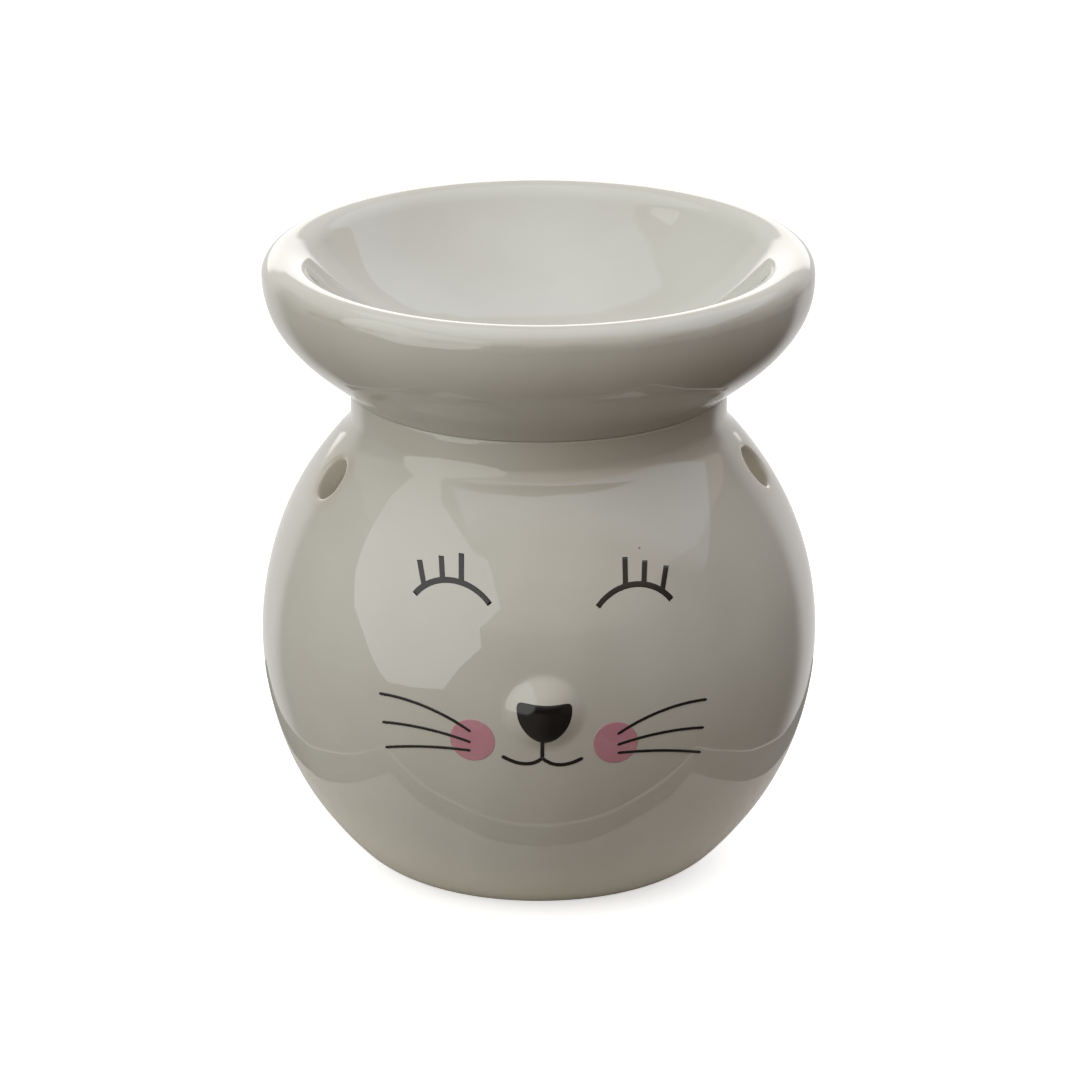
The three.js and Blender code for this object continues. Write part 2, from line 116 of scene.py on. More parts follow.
def put_piece(name, points, quads=None, **marks):
    """A smooth mesh object from points in millimetres, quads of corner numbers and named marks for each point. A
    plain grid of points needs no quads."""
    used, corners = np.unique(grid_quads(*points.shape[:2]) if quads is None else quads, return_inverse=True)
    mesh = bpy.data.meshes.new(name)
    mesh.from_pydata(points.reshape(-1, 3)[used] * MM, [], corners.reshape(-1, 4))
    for mark, values in marks.items():
        layer = mesh.attributes.new(mark, "FLOAT", "POINT")
        layer.data.foreach_set("value", values.ravel()[used].astype(np.float32))
    shape = bmesh.new()
    shape.from_mesh(mesh)
    bmesh.ops.remove_doubles(shape, verts=shape.verts, dist=1e-8)
    bmesh.ops.dissolve_degenerate(shape, edges=shape.edges, dist=1e-9)
    shape.to_mesh(mesh)
    shape.free()
    mesh.polygons.foreach_set("use_smooth", np.ones(len(mesh.polygons), bool))
    piece = bpy.data.objects.new(name, mesh)
    scene.collection.objects.link(piece)
    return piece


def dress(piece, finish, body, node):
    """Gives a piece its finish and the body that it rides on, and hides the solid that it stands for."""
    piece.data.materials.append(finish)
    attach(piece, body)
    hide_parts(node)
    print(f"{piece.name}: {len(piece.data.polygons)} faces on {body}, for {node}")


print("a ring of 4 corners and 3 rows has", len(grid_quads(3, 4)), "quads")

# %% [markdown]
# ## Profiles
# Potters describe turned ware by its profile: radius against height. Here a profile is joined from lines,
# elliptical arcs and simple bends. Each stretch says how many rows of the mesh it gets, so that a tight edge
# has many and a plain wall few.

# %% Arcs, bends and lines of a profile
FINE = 240  # points that a stretch is drawn with, before rows are chosen from it


def arc(centre, radii, start, end):
    """Points on an elliptical arc: centre + radii * (cos a, sin a), for a from start to end in degrees."""
    angle = np.radians(np.linspace(start, end, FINE))[:, None]
    return np.asarray(centre) + np.asarray(radii) * np.hstack((np.cos(angle), np.sin(angle)))


def quadratic(t, start, corner, end):
    """(1 - t)^2 start + 2 t (1 - t) corner + t^2 end: it leaves start towards the corner and comes to end from it."""
    return (1 - t) ** 2 * np.asarray(start) + 2 * t * (1 - t) * np.asarray(corner) + t**2 * np.asarray(end)


def bend(start, corner, end, count=FINE):
    """Points on a quadratic curve."""
    return quadratic(np.linspace(0, 1, count)[:, None], start, corner, end)


def cubic(points, count=FINE):
    """Points on a Bezier curve with four control points."""
    t = np.linspace(0, 1, count)[:, None]
    weights = np.hstack(((1 - t) ** 3, 3 * t * (1 - t) ** 2, 3 * t**2 * (1 - t), t**3))
    return weights @ np.asarray(points, float)


def turn(radius, angle, height):
    """The point at a radius and a height, turned from the face towards +X: (r sin a, -r cos a, z)."""
    return np.stack(np.broadcast_arrays(radius * np.sin(angle), -radius * np.cos(angle), height), -1)


def round_grid(rows, columns):
    """Angles all the way round, and the rows, for every corner of a turned grid."""
    return np.meshgrid(np.linspace(0, 2 * np.pi, columns, endpoint=False), rows)


class Profile:
    """Stretches of (radius, height) points joined end to end, to be read at any length along them."""

    def __init__(self, start, *stretches):
        """A stretch is its rows of the mesh, then a point to draw a line to, or a corner and a point to bend to,
        or an array of points. It begins where the one before it ends."""
        curves = []
        for _, *course in stretches:
            if not isinstance(course[0], np.ndarray):
                course = [np.linspace(start, *course, FINE) if len(course) == 1 else bend(start, *course)]
            curves.append(course[0])
            start = course[0][-1]
        self.radii, self.heights = np.concatenate(curves).T
        steps = np.hypot(np.diff(self.radii), np.diff(self.heights))
        self.lengths = np.concatenate(([0], np.cumsum(steps)))
        ends = self.lengths[np.cumsum([len(curve) for curve in curves]) - 1]
        starts = np.concatenate(([0], ends[:-1]))
        spans = [np.linspace(a, b, rows, endpoint=False) for a, b, (rows, *_) in zip(starts, ends, stretches)]
        self.rows = np.concatenate((*spans, ends[-1:]))

    def at(self, length):
        """Radius and height at a length along the profile."""
        return np.interp(length, self.lengths, self.radii), np.interp(length, self.lengths, self.heights)

    def stand(self, angle, length, relief):
        """Points of the turned wall, moved outwards by its relief."""
        radius, height = self.at(length)
        return turn(radius + relief(angle, height), angle, height)

    def length_at(self, height):
        """Length where the wall climbs through a height; heights under the floor run back along the floor."""
        foot = np.flatnonzero(self.heights == self.heights[0])[-1]
        climb = np.interp(height, self.heights[foot:], self.lengths[foot:])
        return climb + np.minimum(height - self.heights[0], 0)


print("a quarter bend has", len(bend((0, 0), (1, 0), (1, 1))), "points")

# %% [markdown]
# ## The pot's shape
# The pot was cast in a plaster mould: a slice of an ellipsoid with a soft base edge and a hollow curve up into
# an upright neck. Its nose is a low swelling of the same wall, and slip never dries quite evenly, so the wall
# waves by a tenth of a millimetre or two. The eye sees these waves only as wobbling edges of reflections.
# A bump texture could fake them, but then the mesh would lack them, so they are part of the formula.

# %% The pot's outer formula
BELLY_RADIUS, BELLY_RISE = 47.5, 50.1
BASE_RADIUS, BASE_ROUND_WIDTH, BASE_ROUND_HEIGHT = 27.1, 3.2, 3.0
NECK_RADIUS, NECK_HEIGHT, NECK_BLEND, NECK_EDGE, NECK_WALL = 32.0, 6.0, 1.8, 0.5, 4.5
NOSE_REACH, NOSE_HALF_WIDTH, NOSE_HALF_HEIGHT, NOSE_LIFT, NOSE_FALL = 2.2, 6.9, 6.5, 0.6, 1.4
WAVES = ((0.050, 5, 31.0, 0.4), (0.045, 9, -23.0, 1.9), (0.030, 16, 17.0, 4.4), (0.022, 23, -11.0, 2.7))
CALM = 6.0  # the waves grow over this height from the pot's edges

BELLY_HEIGHT = BELLY_RISE * math.sqrt(1 - (BASE_RADIUS / BELLY_RADIUS) ** 2)
NECK_START = BELLY_HEIGHT + BELLY_RISE * math.sqrt(1 - (NECK_RADIUS / BELLY_RADIUS) ** 2)
POT_HEIGHT = NECK_START + NECK_HEIGHT
NECK_BORE = NECK_RADIUS - NECK_WALL


def ellipse_radius(height):
    """Radius of the belly's ellipse: its half-width * sqrt(1 - (distance from the middle / half-height)^2)."""
    return BELLY_RADIUS * np.sqrt(1 - ((height - BELLY_HEIGHT) / BELLY_RISE) ** 2)


def plain_radius(height):
    """Radius of the pot without nose or waves: base bend, ellipse, then a quadratic fade into the neck."""
    height = np.asarray(height, float)
    t = np.sqrt(fade(height, 0, BASE_ROUND_HEIGHT))
    low_bend = quadratic(t, BASE_RADIUS - BASE_ROUND_WIDTH, BASE_RADIUS, ellipse_radius(BASE_ROUND_HEIGHT))
    start = NECK_START - NECK_BLEND
    belly = ellipse_radius(np.clip(height, 0, start))
    rise = fade(height, start, NECK_START + NECK_BLEND)
    return np.where(height < BASE_ROUND_HEIGHT, low_bend, NECK_RADIUS + (belly - NECK_RADIUS) * (1 - rise) ** 2)


def cast_waves(angle, height):
    """Unevenness of the cast: a sum of waves, each depth * (sin(count * angle + height / pitch + start) - 1), so that
    they sink into the plain shape and never stand out of it."""
    return sum(depth * (np.sin(count * angle + height / pitch + start) - 1) for depth, count, pitch, start in WAVES)


def pot_relief(angle, height):
    """How far the pot stands out of its plain profile: the nose, a low dome, and the waves between the edges."""
    across = plain_radius(height) * np.sin(angle) / NOSE_HALF_WIDTH
    up = (height - BELLY_HEIGHT - NOSE_LIFT) / NOSE_HALF_HEIGHT
    nose = NOSE_REACH * np.clip(1 - across**2 - up**2, 0, None) ** NOSE_FALL * (np.cos(angle) > 0)
    calm = fade(height, BASE_ROUND_HEIGHT, BASE_ROUND_HEIGHT + CALM) * fade(height, NECK_START, NECK_START - CALM)
    return nose + calm * cast_waves(angle, height)


print(f"belly widest at {BELLY_HEIGHT:.1f} mm, neck from {NECK_START:.1f} mm, pot {POT_HEIGHT:.1f} mm high")

# %% Outside and inside profiles of the pot
POT_WALL, POT_FLOOR, FLOOR_BEND = 4.0, 6.0, 4.0
SEAT_GAP = 0.03  # the neck's edge ends this far under the dish's foot, so that no two faces fall together
NECK_TOP = POT_HEIGHT - SEAT_GAP
LIP_MIDDLE = (NECK_RADIUS - NECK_WALL / 2, NECK_TOP)
BORE_EDGE = 0.8


def inner_radius(height):
    """Radius of the chamber: an ellipse one wall inside the belly's."""
    return (BELLY_RADIUS - POT_WALL) * np.sqrt(1 - ((height - BELLY_HEIGHT) / (BELLY_RISE - POT_WALL)) ** 2)


def climb(radius_of, low, high):
    """Points of a wall whose radius is a function of height."""
    heights = np.linspace(low, high, 8 * FINE)
    return np.stack((radius_of(heights), heights), -1)


def bore_start():
    """Height where the chamber's ellipse has narrowed to the bore of the neck."""
    share = 1 - (NECK_BORE / (BELLY_RADIUS - POT_WALL)) ** 2
    return BELLY_HEIGHT + (BELLY_RISE - POT_WALL) * math.sqrt(share)


base_flat = BASE_RADIUS - BASE_ROUND_WIDTH
outside = Profile(
    (0, 0),
    (8, (base_flat, 0)),
    (9, climb(plain_radius, 0, BASE_ROUND_HEIGHT)),
    (118, climb(plain_radius, BASE_ROUND_HEIGHT, NECK_START - NECK_BLEND)),
    (16, climb(plain_radius, NECK_START - NECK_BLEND, NECK_START + NECK_BLEND)),
    (3, (NECK_RADIUS, NECK_TOP - NECK_EDGE)),
    (6, arc((NECK_RADIUS - NECK_EDGE, NECK_TOP - NECK_EDGE), (NECK_EDGE, NECK_EDGE), 0, 90)),
    (2, LIP_MIDDLE),
)
floor_edge = float(inner_radius(POT_FLOOR))
bend_top = POT_FLOOR + 0.75 * FLOOR_BEND
inside = Profile(
    (0, POT_FLOOR),
    (12, (floor_edge - FLOOR_BEND, POT_FLOOR)),
    (8, (floor_edge, POT_FLOOR), (inner_radius(bend_top), bend_top)),
    (108, climb(inner_radius, bend_top, bore_start())),
    (7, (NECK_BORE, NECK_TOP - BORE_EDGE)),
    (5, arc((NECK_BORE + BORE_EDGE, NECK_TOP - BORE_EDGE), (BORE_EDGE, BORE_EDGE), 180, 90)),
    (2, LIP_MIDDLE),
)
print(len(outside.rows), "rows outside and", len(inside.rows), "inside")

# %% [markdown]
# ## Holes in a turned wall
# Two round vents were punched through the soft clay, and an arch was cut out at the back for the tealight. A
# Boolean modifier could cut them, but it leaves ragged triangles that show in a glossy glaze. Instead the grid
# itself is drawn apart: a block of cells is left out, and the rows and columns round it are moved so that they
# ring the hole. A strip of quads then lines the hole from the outer wall to the inner one, with soft edges.

# %% Columns of the pot
POT_COLUMNS = 272
CROWDING = 0.45  # columns stand closer at the face, where the nose needs them, and wider at the back

steps = np.linspace(0, 2 * np.pi, POT_COLUMNS, endpoint=False)
pot_columns = steps - CROWDING * np.sin(steps)
spacing = np.degrees(np.diff(pot_columns))
print(f"columns are {spacing.min():.2f} to {spacing.max():.2f} degrees apart")

# %% Outlines of the vents and the arch
VENT_RADIUS, VENT_DROP, VENT_ANGLES = 3.75, 6.5, (79.5, 289.0)
ARCH_HALF_WIDTH, ARCH_SPRING, ARCH_TOP = 23.0, 25.0, 48.0
ARCH_CORNER_POWER = 14


def vent_outline(azimuth):
    """A circle square to the wall: middle + radius * (cos t * east + sin t * north), sunk along the wall's normal."""
    height = NECK_START - VENT_DROP
    angle, radius = math.radians(azimuth), float(plain_radius(height))
    tilt = math.atan2((height - BELLY_HEIGHT) / BELLY_RISE**2, radius / BELLY_RADIUS**2)
    out, east, north = compass(angle, tilt)

    def outline(wall, across, up, grow=0.0):
        depth = 0.0 if wall is outside else POT_WALL
        reach = ((VENT_RADIUS + grow) / np.hypot(across, up))[:, None]
        point = turn(radius, angle, height) - depth * out
        point = point + reach * (across[:, None] * east + up[:, None] * north)
        return np.arctan2(point[:, 0], -point[:, 1]) % (2 * np.pi), wall.length_at(point[:, 2])

    return outline


def arch_outline(wall, across, up, grow=0.0):
    """A half-ellipse over a box with round corners: the point in each direction where |x / w|^n + |z / h|^n = 1."""
    heading = np.arctan2(up, across)
    x, z = np.cos(heading), np.sin(heading)
    power = np.where(z > 0, 2, ARCH_CORNER_POWER)
    rise = np.where(z > 0, ARCH_TOP - ARCH_SPRING, ARCH_SPRING - POT_FLOOR) + grow
    reach = (np.abs(x / (ARCH_HALF_WIDTH + grow)) ** power + np.abs(z / rise) ** power) ** (-1 / power)
    length = wall.length_at(ARCH_SPRING + reach * z)
    return np.pi + np.arcsin(reach * x / wall.at(length)[0]), length


print("vents at", VENT_ANGLES, "degrees from the face")

# %% Opening a hole in a grid
EDGE_ROUND, HOLE_RINGS = 0.9, 6  # round of the cut edge, and how many rings of corners are moved round a hole


class Hole:
    """A block of cells left out of both walls' grids, and the rings of corners that are moved to surround it."""

    def __init__(self, outline, azimuth, low, high, half):
        """low and high are heights; half is (rows, columns) from the block's middle to its rim."""
        self.outline, self.half = outline, half
        self.column = int(np.argmin(np.abs(pot_columns - math.radians(azimuth))))
        self.low, self.high = low, high

    def row(self, wall):
        """The wall's row nearest the middle of the hole."""
        middle = (wall.length_at(self.low) + wall.length_at(self.high)) / 2
        return int(np.argmin(np.abs(wall.rows - middle)))

    def rim(self):
        """Rows and columns of the block's rim from its middle, anticlockwise seen from outside."""
        up, across = self.half
        u, a = np.arange(-up, up), np.arange(-across, across)
        rows = np.concatenate((np.full(a.size, -up), u, np.full(a.size, up), -u))
        columns = np.concatenate((a, np.full(u.size, across), -a, np.full(u.size, -across)))
        return rows, columns

    def rim_numbers(self, wall):
        rows, columns = self.rim()
        return (self.row(wall) + rows) * POT_COLUMNS + self.column + columns

    def edge(self, wall, relief):
        """Points of the sharp outline on a wall, one for each corner of the rim."""
        rows, columns = self.rim()
        angle, length = self.outline(wall, columns / self.half[1], rows / self.half[0])
        return wall.stand(angle, length, relief)

    def left_out(self, wall):
        """True for each cell of the wall's grid that the hole takes away."""
        row, column = np.indices((len(wall.rows) - 1, POT_COLUMNS))
        row, column = row - self.row(wall), column - self.column
        up, across = self.half
        return ((row >= -up) & (row < up) & (column >= -across) & (column < across)).ravel()

    def draw_apart(self, wall, angle, length, thin):
        """Moves the corners of the rings: each is a share between the outline and the outermost ring, in the
        direction that it has from the block's middle on its own ring."""
        row, column = np.indices(angle.shape)
        row, column = row - self.row(wall), column - self.column
        ring = np.maximum(np.abs(row) - self.half[0], np.abs(column) - self.half[1])
        near = (ring >= 0) & (ring < HOLE_RINGS)
        ring, row, column = ring[near], row[near], column[near]
        up, across = row / (self.half[0] + ring), column / (self.half[1] + ring)
        far_row = self.row(wall) + up * (self.half[0] + HOLE_RINGS)
        far_column = self.column + across * (self.half[1] + HOLE_RINGS)
        far_angle = np.interp(far_column, np.arange(POT_COLUMNS), pot_columns)
        far_length = np.interp(far_row, np.arange(len(wall.rows)), wall.rows)
        hole_angle, hole_length = self.outline(wall, across, up, EDGE_ROUND)
        share = ring / HOLE_RINGS
        angle[near] = hole_angle + share * (far_angle - hole_angle)
        length[near] = hole_length + share * (far_length - hole_length)
        thin[near] = np.maximum(thin[near], 1 - ring / 3)


vent_low, vent_high = NECK_START - VENT_DROP - VENT_RADIUS, NECK_START - VENT_DROP + VENT_RADIUS
holes = [Hole(vent_outline(azimuth), azimuth, vent_low, vent_high, (6, 6)) for azimuth in VENT_ANGLES]
holes.append(Hole(arch_outline, 180, POT_FLOOR, ARCH_TOP, (32, 40)))
print("rims of", [4 * sum(hole.half) for hole in holes], "corners")

# %% Walls and linings of the pot
LINING_STEPS = 5
BARE_HEIGHT = 0.35  # the foot was wiped clean up to here


def wall_sheet(wall, relief):
    """Points, quads and edge marks of one wall: its rows and columns, drawn apart round every hole."""
    angle = np.tile(pot_columns, (len(wall.rows), 1))
    length = np.repeat(wall.rows[:, None], POT_COLUMNS, 1)
    thin = np.zeros(angle.shape)
    for hole in holes:
        hole.draw_apart(wall, angle, length, thin)
    points = wall.stand(angle, length, relief).reshape(-1, 3)
    taken = np.any([hole.left_out(wall) for hole in holes], 0)
    return points, grid_quads(len(wall.rows), POT_COLUMNS)[~taken], thin.ravel()


def lining(outer_rim, outer_edge, inner_edge, inner_rim):
    """Rows of points through a hole: a bend over the outer edge, the straight cut, and a bend over the inner edge."""
    depth = inner_edge - outer_edge
    step = depth * (EDGE_ROUND / np.linalg.norm(depth, axis=1))[:, None]
    t = np.linspace(0, 1, LINING_STEPS + 1)[:, None, None]
    over = quadratic(t, outer_rim, outer_edge, outer_edge + step)
    under = quadratic(t, inner_edge - step, inner_edge, inner_rim)
    return np.concatenate((over, under))


def no_relief(angle, height):
    """The inside was poured out smooth."""
    return 0.0


outer_points, outer_quads, outer_thin = wall_sheet(outside, pot_relief)
inner_points, inner_quads, inner_thin = wall_sheet(inside, no_relief)
pot_points, pot_quads = [outer_points, inner_points], [outer_quads, inner_quads[:, ::-1]]
thin, within = [outer_thin, inner_thin], [np.zeros(len(outer_points)), np.ones(len(inner_points))]
for hole in holes:
    rows = lining(
        outer_points[hole.rim_numbers(outside)], hole.edge(outside, pot_relief),
        hole.edge(inside, no_relief), inner_points[hole.rim_numbers(inside)],
    )
    pot_points.append(rows.reshape(-1, 3))
    pot_quads.append(grid_quads(*rows.shape[:2]))
    thin.append(np.repeat(np.abs(np.linspace(-1, 1, len(rows))), rows.shape[1]))
    within.append(np.repeat(np.linspace(0, 1, len(rows)), rows.shape[1]))
pot_points, pot_quads = join(pot_points, pot_quads)
thin, within, bare = np.concatenate(thin), np.concatenate(within), fade(pot_points[:, 2], BARE_HEIGHT, 0)
pot = put_piece("pot_body", pot_points, pot_quads, thin=thin, bare=bare, within=within)
print("pot:", len(pot.data.polygons), "faces")

# %% [markdown]
# ## Shader maths in Python
# A finish is a small tree of nodes. Built one node at a time it takes pages, so one class wraps a socket and
# lets Python's own operators add the Math nodes, and one method adds any other node: its settings first, then
# the values or links of its sockets.

# %% Sockets that can be calculated with
def operator(operation):
    """A method that adds a Math node, and its reflected form, in which the two terms change places."""
    return (
        lambda self, other: self.maths(operation, self, other),
        lambda self, other: self.maths(operation, other, self),
    )


class Value:
    """The output of a node. An expression such as 1 - 2 * mask adds a Math node for each operator in it."""

    __add__, __radd__ = operator("ADD")
    __sub__, __rsub__ = operator("SUBTRACT")
    __mul__, __rmul__ = operator("MULTIPLY")
    __truediv__, __rtruediv__ = operator("DIVIDE")
    __gt__, __lt__ = operator("GREATER_THAN")

    def __init__(self, finish, socket):
        self.finish, self.socket = finish, socket

    def maths(self, operation, *terms):
        return self.finish.add("Math", {"operation": operation}, dict(enumerate(terms)))


class Finish:
    """A material, or the studio's world, while its nodes are being added."""

    def __init__(self, owner):
        owner.use_nodes = True
        self.owner, self.tree = owner, owner.node_tree
        self.tree.nodes.clear()

    def add(self, kind, settings=None, sockets=None, out=0):
        """Adds a node of a kind, sets it up, feeds its sockets by name or number, and returns one output."""
        node = self.tree.nodes.new("ShaderNode" + kind)
        for name, value in (settings or {}).items():
            setattr(node, name, value)
        for name, value in (sockets or {}).items():
            if isinstance(value, Value):
                self.tree.links.new(value.socket, node.inputs[name])
            else:
                node.inputs[name].default_value = value
        return Value(self, node.outputs[out]) if node.outputs else None

    def mix(self, share, first, second):
        """A colour between two colours."""
        return self.add("Mix", {"data_type": "RGBA"}, {0: share, 6: first, 7: second}, out=2)

    def ramp(self, value, low, high):
        """A smooth step from 0 at low to 1 at high, where low may be the larger."""
        limits = {"Value": value, "From Min": low, "From Max": high}
        return self.add("MapRange", {"interpolation_type": "SMOOTHSTEP"}, limits)

    def mark(self, name):
        """A named mark that the mesh carries for each of its points, or 0 on a mesh without it."""
        return self.add("Attribute", {"attribute_name": name}, out="Fac")

    def grains(self, kind, scale, stretch=(1, 1, 1), out=0, **more):
        """A texture with some grains for each metre, on the piece's own coordinates, which a joint carries along."""
        place = self.add("Mapping", None, {"Vector": self.add("TexCoord", out="Object"), "Scale": stretch})
        return self.add(kind, None, {"Vector": place, "Scale": scale, **more}, out)

    def noise(self, scale, detail=2.0, stretch=(1, 1, 1)):
        """Soft noise between 0 and 1."""
        return self.grains("TexNoise", scale, stretch, Detail=detail)

    def bump(self, height, distance):
        """A normal tilted as if height times distance were really there."""
        return self.add("Bump", None, {"Height": height, "Distance": distance})

    def surface(self, sockets):
        """Ends the tree in a Principled surface with these sockets, and returns the material."""
        shader = self.add("BsdfPrincipled", None, sockets)
        self.add("OutputMaterial", None, {"Surface": shader})
        return self.owner


def new_finish(name):
    return Finish(bpy.data.materials.new(name))


print("shader helpers ready")

# %% [markdown]
# ## Warm white glaze
# The glaze is a thick glassy coat over pale clay: white with a little cream in it, glossy, and faintly cloudy
# where it ran thicker. It draws back from sharp edges, so rims and the punched holes show a breath of tan clay.
# Tiny pinholes stay where bubbles broke, and a thin brown line, broken here and there, runs round the dish's lip
# just over its widest ring. The potter wiped the foot bare, so that it would not stick in the kiln.
# The thin wall lets a little daylight through, so the chamber seen through the vents is dim, not black. Light
# that really scatters through clay would take far more samples than this faint glow of the inner wall.

# %% Glaze
GLAZE_WHITE, GLAZE_CLOUD = (0.562, 0.547, 0.477, 1), (0.53, 0.511, 0.441, 1)
THIN_GLAZE, BARE_CLAY, PINHOLE = (0.52, 0.46, 0.37, 1), (0.72, 0.65, 0.54, 1), (0.20, 0.15, 0.11, 1)
BROWNISH_LINE, BROWNISH_LINE_SHARE, BROWNISH_LINE_GRAIN = (0.30, 0.23, 0.15, 1), 0.42, 110.0
CLOUDS, PEEL, CELLS = 38.0, 260.0, 62.0
GLAZE_INDEX, THIN_SHARE, PEEL_DEPTH = 1.64, 0.55, 0.000006
GREY_SHARES, PINHOLE_CHANCE = (0.2126, 0.7152, 0.0722), 0.7  # a cell whose random colour is light has a pinhole
CHAMBER_GLOW, NO_GLOW = (0.09, 0.081, 0.068, 1), (0, 0, 0, 1)


def make_glaze(name):
    glaze = new_finish(name)
    thin, bare, within, rubbed = map(glaze.mark, ("thin", "bare", "within", "rubbed"))
    # a thin brown line round the dish's lip, broken here and there by noise
    rubbed = BROWNISH_LINE_SHARE * rubbed * glaze.ramp(glaze.noise(BROWNISH_LINE_GRAIN, 5.0), 0.36, 0.72)
    clouds = glaze.ramp(glaze.noise(CLOUDS, 4.0), 0.35, 0.7)
    near, shade = (glaze.grains("TexVoronoi", CELLS, out=out) for out in ("Distance", "Color"))
    chance = glaze.add("VectorMath", {"operation": "DOT_PRODUCT"}, {0: shade, 1: GREY_SHARES}, out="Value")
    pinhole = glaze.ramp(near, 0.022, 0.012) * (chance > PINHOLE_CHANCE)
    colour = glaze.mix(clouds, GLAZE_WHITE, GLAZE_CLOUD)
    coats = (thin * THIN_SHARE, THIN_GLAZE), (pinhole, PINHOLE), (rubbed, BROWNISH_LINE), (bare, BARE_CLAY)
    for share, coat in coats:
        colour = glaze.mix(share, colour, coat)
    roughness = 0.012 + 0.018 * clouds + 0.8 * bare
    relief = glaze.noise(PEEL) - 3.0 * pinhole
    return glaze.surface({
        "Base Color": colour, "Roughness": roughness, "Normal": glaze.bump(relief, PEEL_DEPTH),
        "IOR": GLAZE_INDEX, "Emission Color": glaze.mix(within, NO_GLOW, CHAMBER_GLOW), "Emission Strength": 1.0,
    })


pot_glaze = make_glaze("pot_glaze")
dress(pot, pot_glaze, "pot", "pot")

# %% [markdown]
# ## The oil dish
# The dish was cast by itself. A short spigot under it drops into the pot's neck, its foot rests on the neck's
# edge, and its side swells up to a broad lip that rolls over into the bowl. It is a plain turned shape, so its
# profile is carried round the axis, with waves of its own on the outer side and, fainter, in the bowl.

# %% Dish
DISH_COLUMNS = 288
DISH_RADIUS, DISH_FOOT, FOOT_ROUND, FOOT_SLOPE = 47.0, 32.4, 0.6, 45.0
SIDE_HEIGHT, SIDE_PULL, FOOT_PULL = 19.7, 10.6, 6.0
DISH_LIP_WIDTH, DISH_LIP_RISE, DISH_LIP_INSIDE = 3.5, 3.9, 5.8
BOWL_STEEPNESS, BOWL_FLOOR, BOWL_FLAT = 50.0, 4.3, 4.0
SPIGOT_OUT, SPIGOT_IN, SPIGOT_DEPTH, SPIGOT_EDGE = 27.0, 23.5, 4.0, 0.6
BOWL_WAVES = 0.6  # depth of the waves in the bowl, for those on the side
BROWNISH_LINE_RISE, BROWNISH_LINE_WIDTH = 1.35, 0.3  # height of the rubbed line over the widest ring, and its half-width
THIN_WIDTH, THIN_LIP = 1.6, 0.6  # the same half-width for thin glaze on the crest, and how thin it is

crest_radius, crest = DISH_RADIUS - DISH_LIP_WIDTH, SIDE_HEIGHT + DISH_LIP_RISE
foot = arc((DISH_FOOT - FOOT_ROUND, FOOT_ROUND), (FOOT_ROUND, FOOT_ROUND), -90, FOOT_SLOPE - 90)
slope = math.radians(FOOT_SLOPE)
side = cubic((
    foot[-1], foot[-1] + FOOT_PULL * np.array((math.cos(slope), math.sin(slope))),
    (DISH_RADIUS, SIDE_HEIGHT - SIDE_PULL), (DISH_RADIUS, SIDE_HEIGHT),
))
lip_inside = arc((crest_radius, crest - DISH_LIP_INSIDE), (DISH_LIP_INSIDE, DISH_LIP_INSIDE), 90, 90 + BOWL_STEEPNESS)
bowl_run = (lip_inside[-1][1] - BOWL_FLOOR) / math.tan(math.radians(BOWL_STEEPNESS))
bowl_bend = (lip_inside[-1][0] - bowl_run, BOWL_FLOOR)
low, edge = -SPIGOT_DEPTH, SPIGOT_EDGE
dish_profile = Profile(
    (0, 0),
    (6, (SPIGOT_IN - edge, 0)),
    (4, (SPIGOT_IN, 0), (SPIGOT_IN, -edge)),
    (3, (SPIGOT_IN, low + edge)),
    (4, (SPIGOT_IN, low), (SPIGOT_IN + edge, low)),
    (3, (SPIGOT_OUT - edge, low)),
    (4, (SPIGOT_OUT, low), (SPIGOT_OUT, low + edge)),
    (4, (SPIGOT_OUT, 0)),
    (5, (DISH_FOOT - FOOT_ROUND, 0)),
    (6, foot),
    (46, side),
    (22, arc((crest_radius, SIDE_HEIGHT), (DISH_LIP_WIDTH, DISH_LIP_RISE), 0, 90)),
    (18, lip_inside),
    (52, bowl_bend, (BOWL_FLAT, BOWL_FLOOR)),
    (5, (0, BOWL_FLOOR)),
)
angle, length = round_grid(dish_profile.rows, DISH_COLUMNS)
radius, height = dish_profile.at(length)
outer = length < dish_profile.lengths[np.argmax(dish_profile.heights)]
# The waves die away towards the foot, the lip and the middle of the bowl.
on_side = outer * fade(radius, 36, 42) * fade(height, crest - 1, crest - 4)
in_bowl = ~outer * fade(radius, crest_radius - 2, crest_radius - 8) * fade(radius, 0, 30) ** 2
waves = cast_waves(angle, 1.4 * length)
dish_points = turn(radius + on_side * waves, angle, POT_HEIGHT + height + BOWL_WAVES * in_bowl * waves)
lip_thin = np.exp(-(((radius - crest_radius) / THIN_WIDTH) ** 2)) * (height > SIDE_HEIGHT)
spigot_bare = fade(height, 1 - SPIGOT_DEPTH, 0.5 - SPIGOT_DEPTH)
# the brown line runs round the lip just over its widest ring
lip_rubbed = outer * np.exp(-(((height - SIDE_HEIGHT - BROWNISH_LINE_RISE) / BROWNISH_LINE_WIDTH) ** 2))
dish = put_piece("oil_dish_bowl", dish_points, thin=THIN_LIP * lip_thin, bare=spigot_bare, rubbed=lip_rubbed)
dish_glaze = make_glaze("dish_glaze")
dress(dish, dish_glaze, "dish", "oil_dish")

# %% [markdown]
# ## The face
# The face is a set of ceramic transfers: thin films of coloured enamel, soaked off a paper and fired into the
# glaze. A picture texture would blur and would need a file, and painting by masks would tie the face to the
# pot's material. So each film is a real, very thin piece, drawn flat as in a front view and then wrapped onto
# the same formula as the pot, so that it follows the nose and every wave.

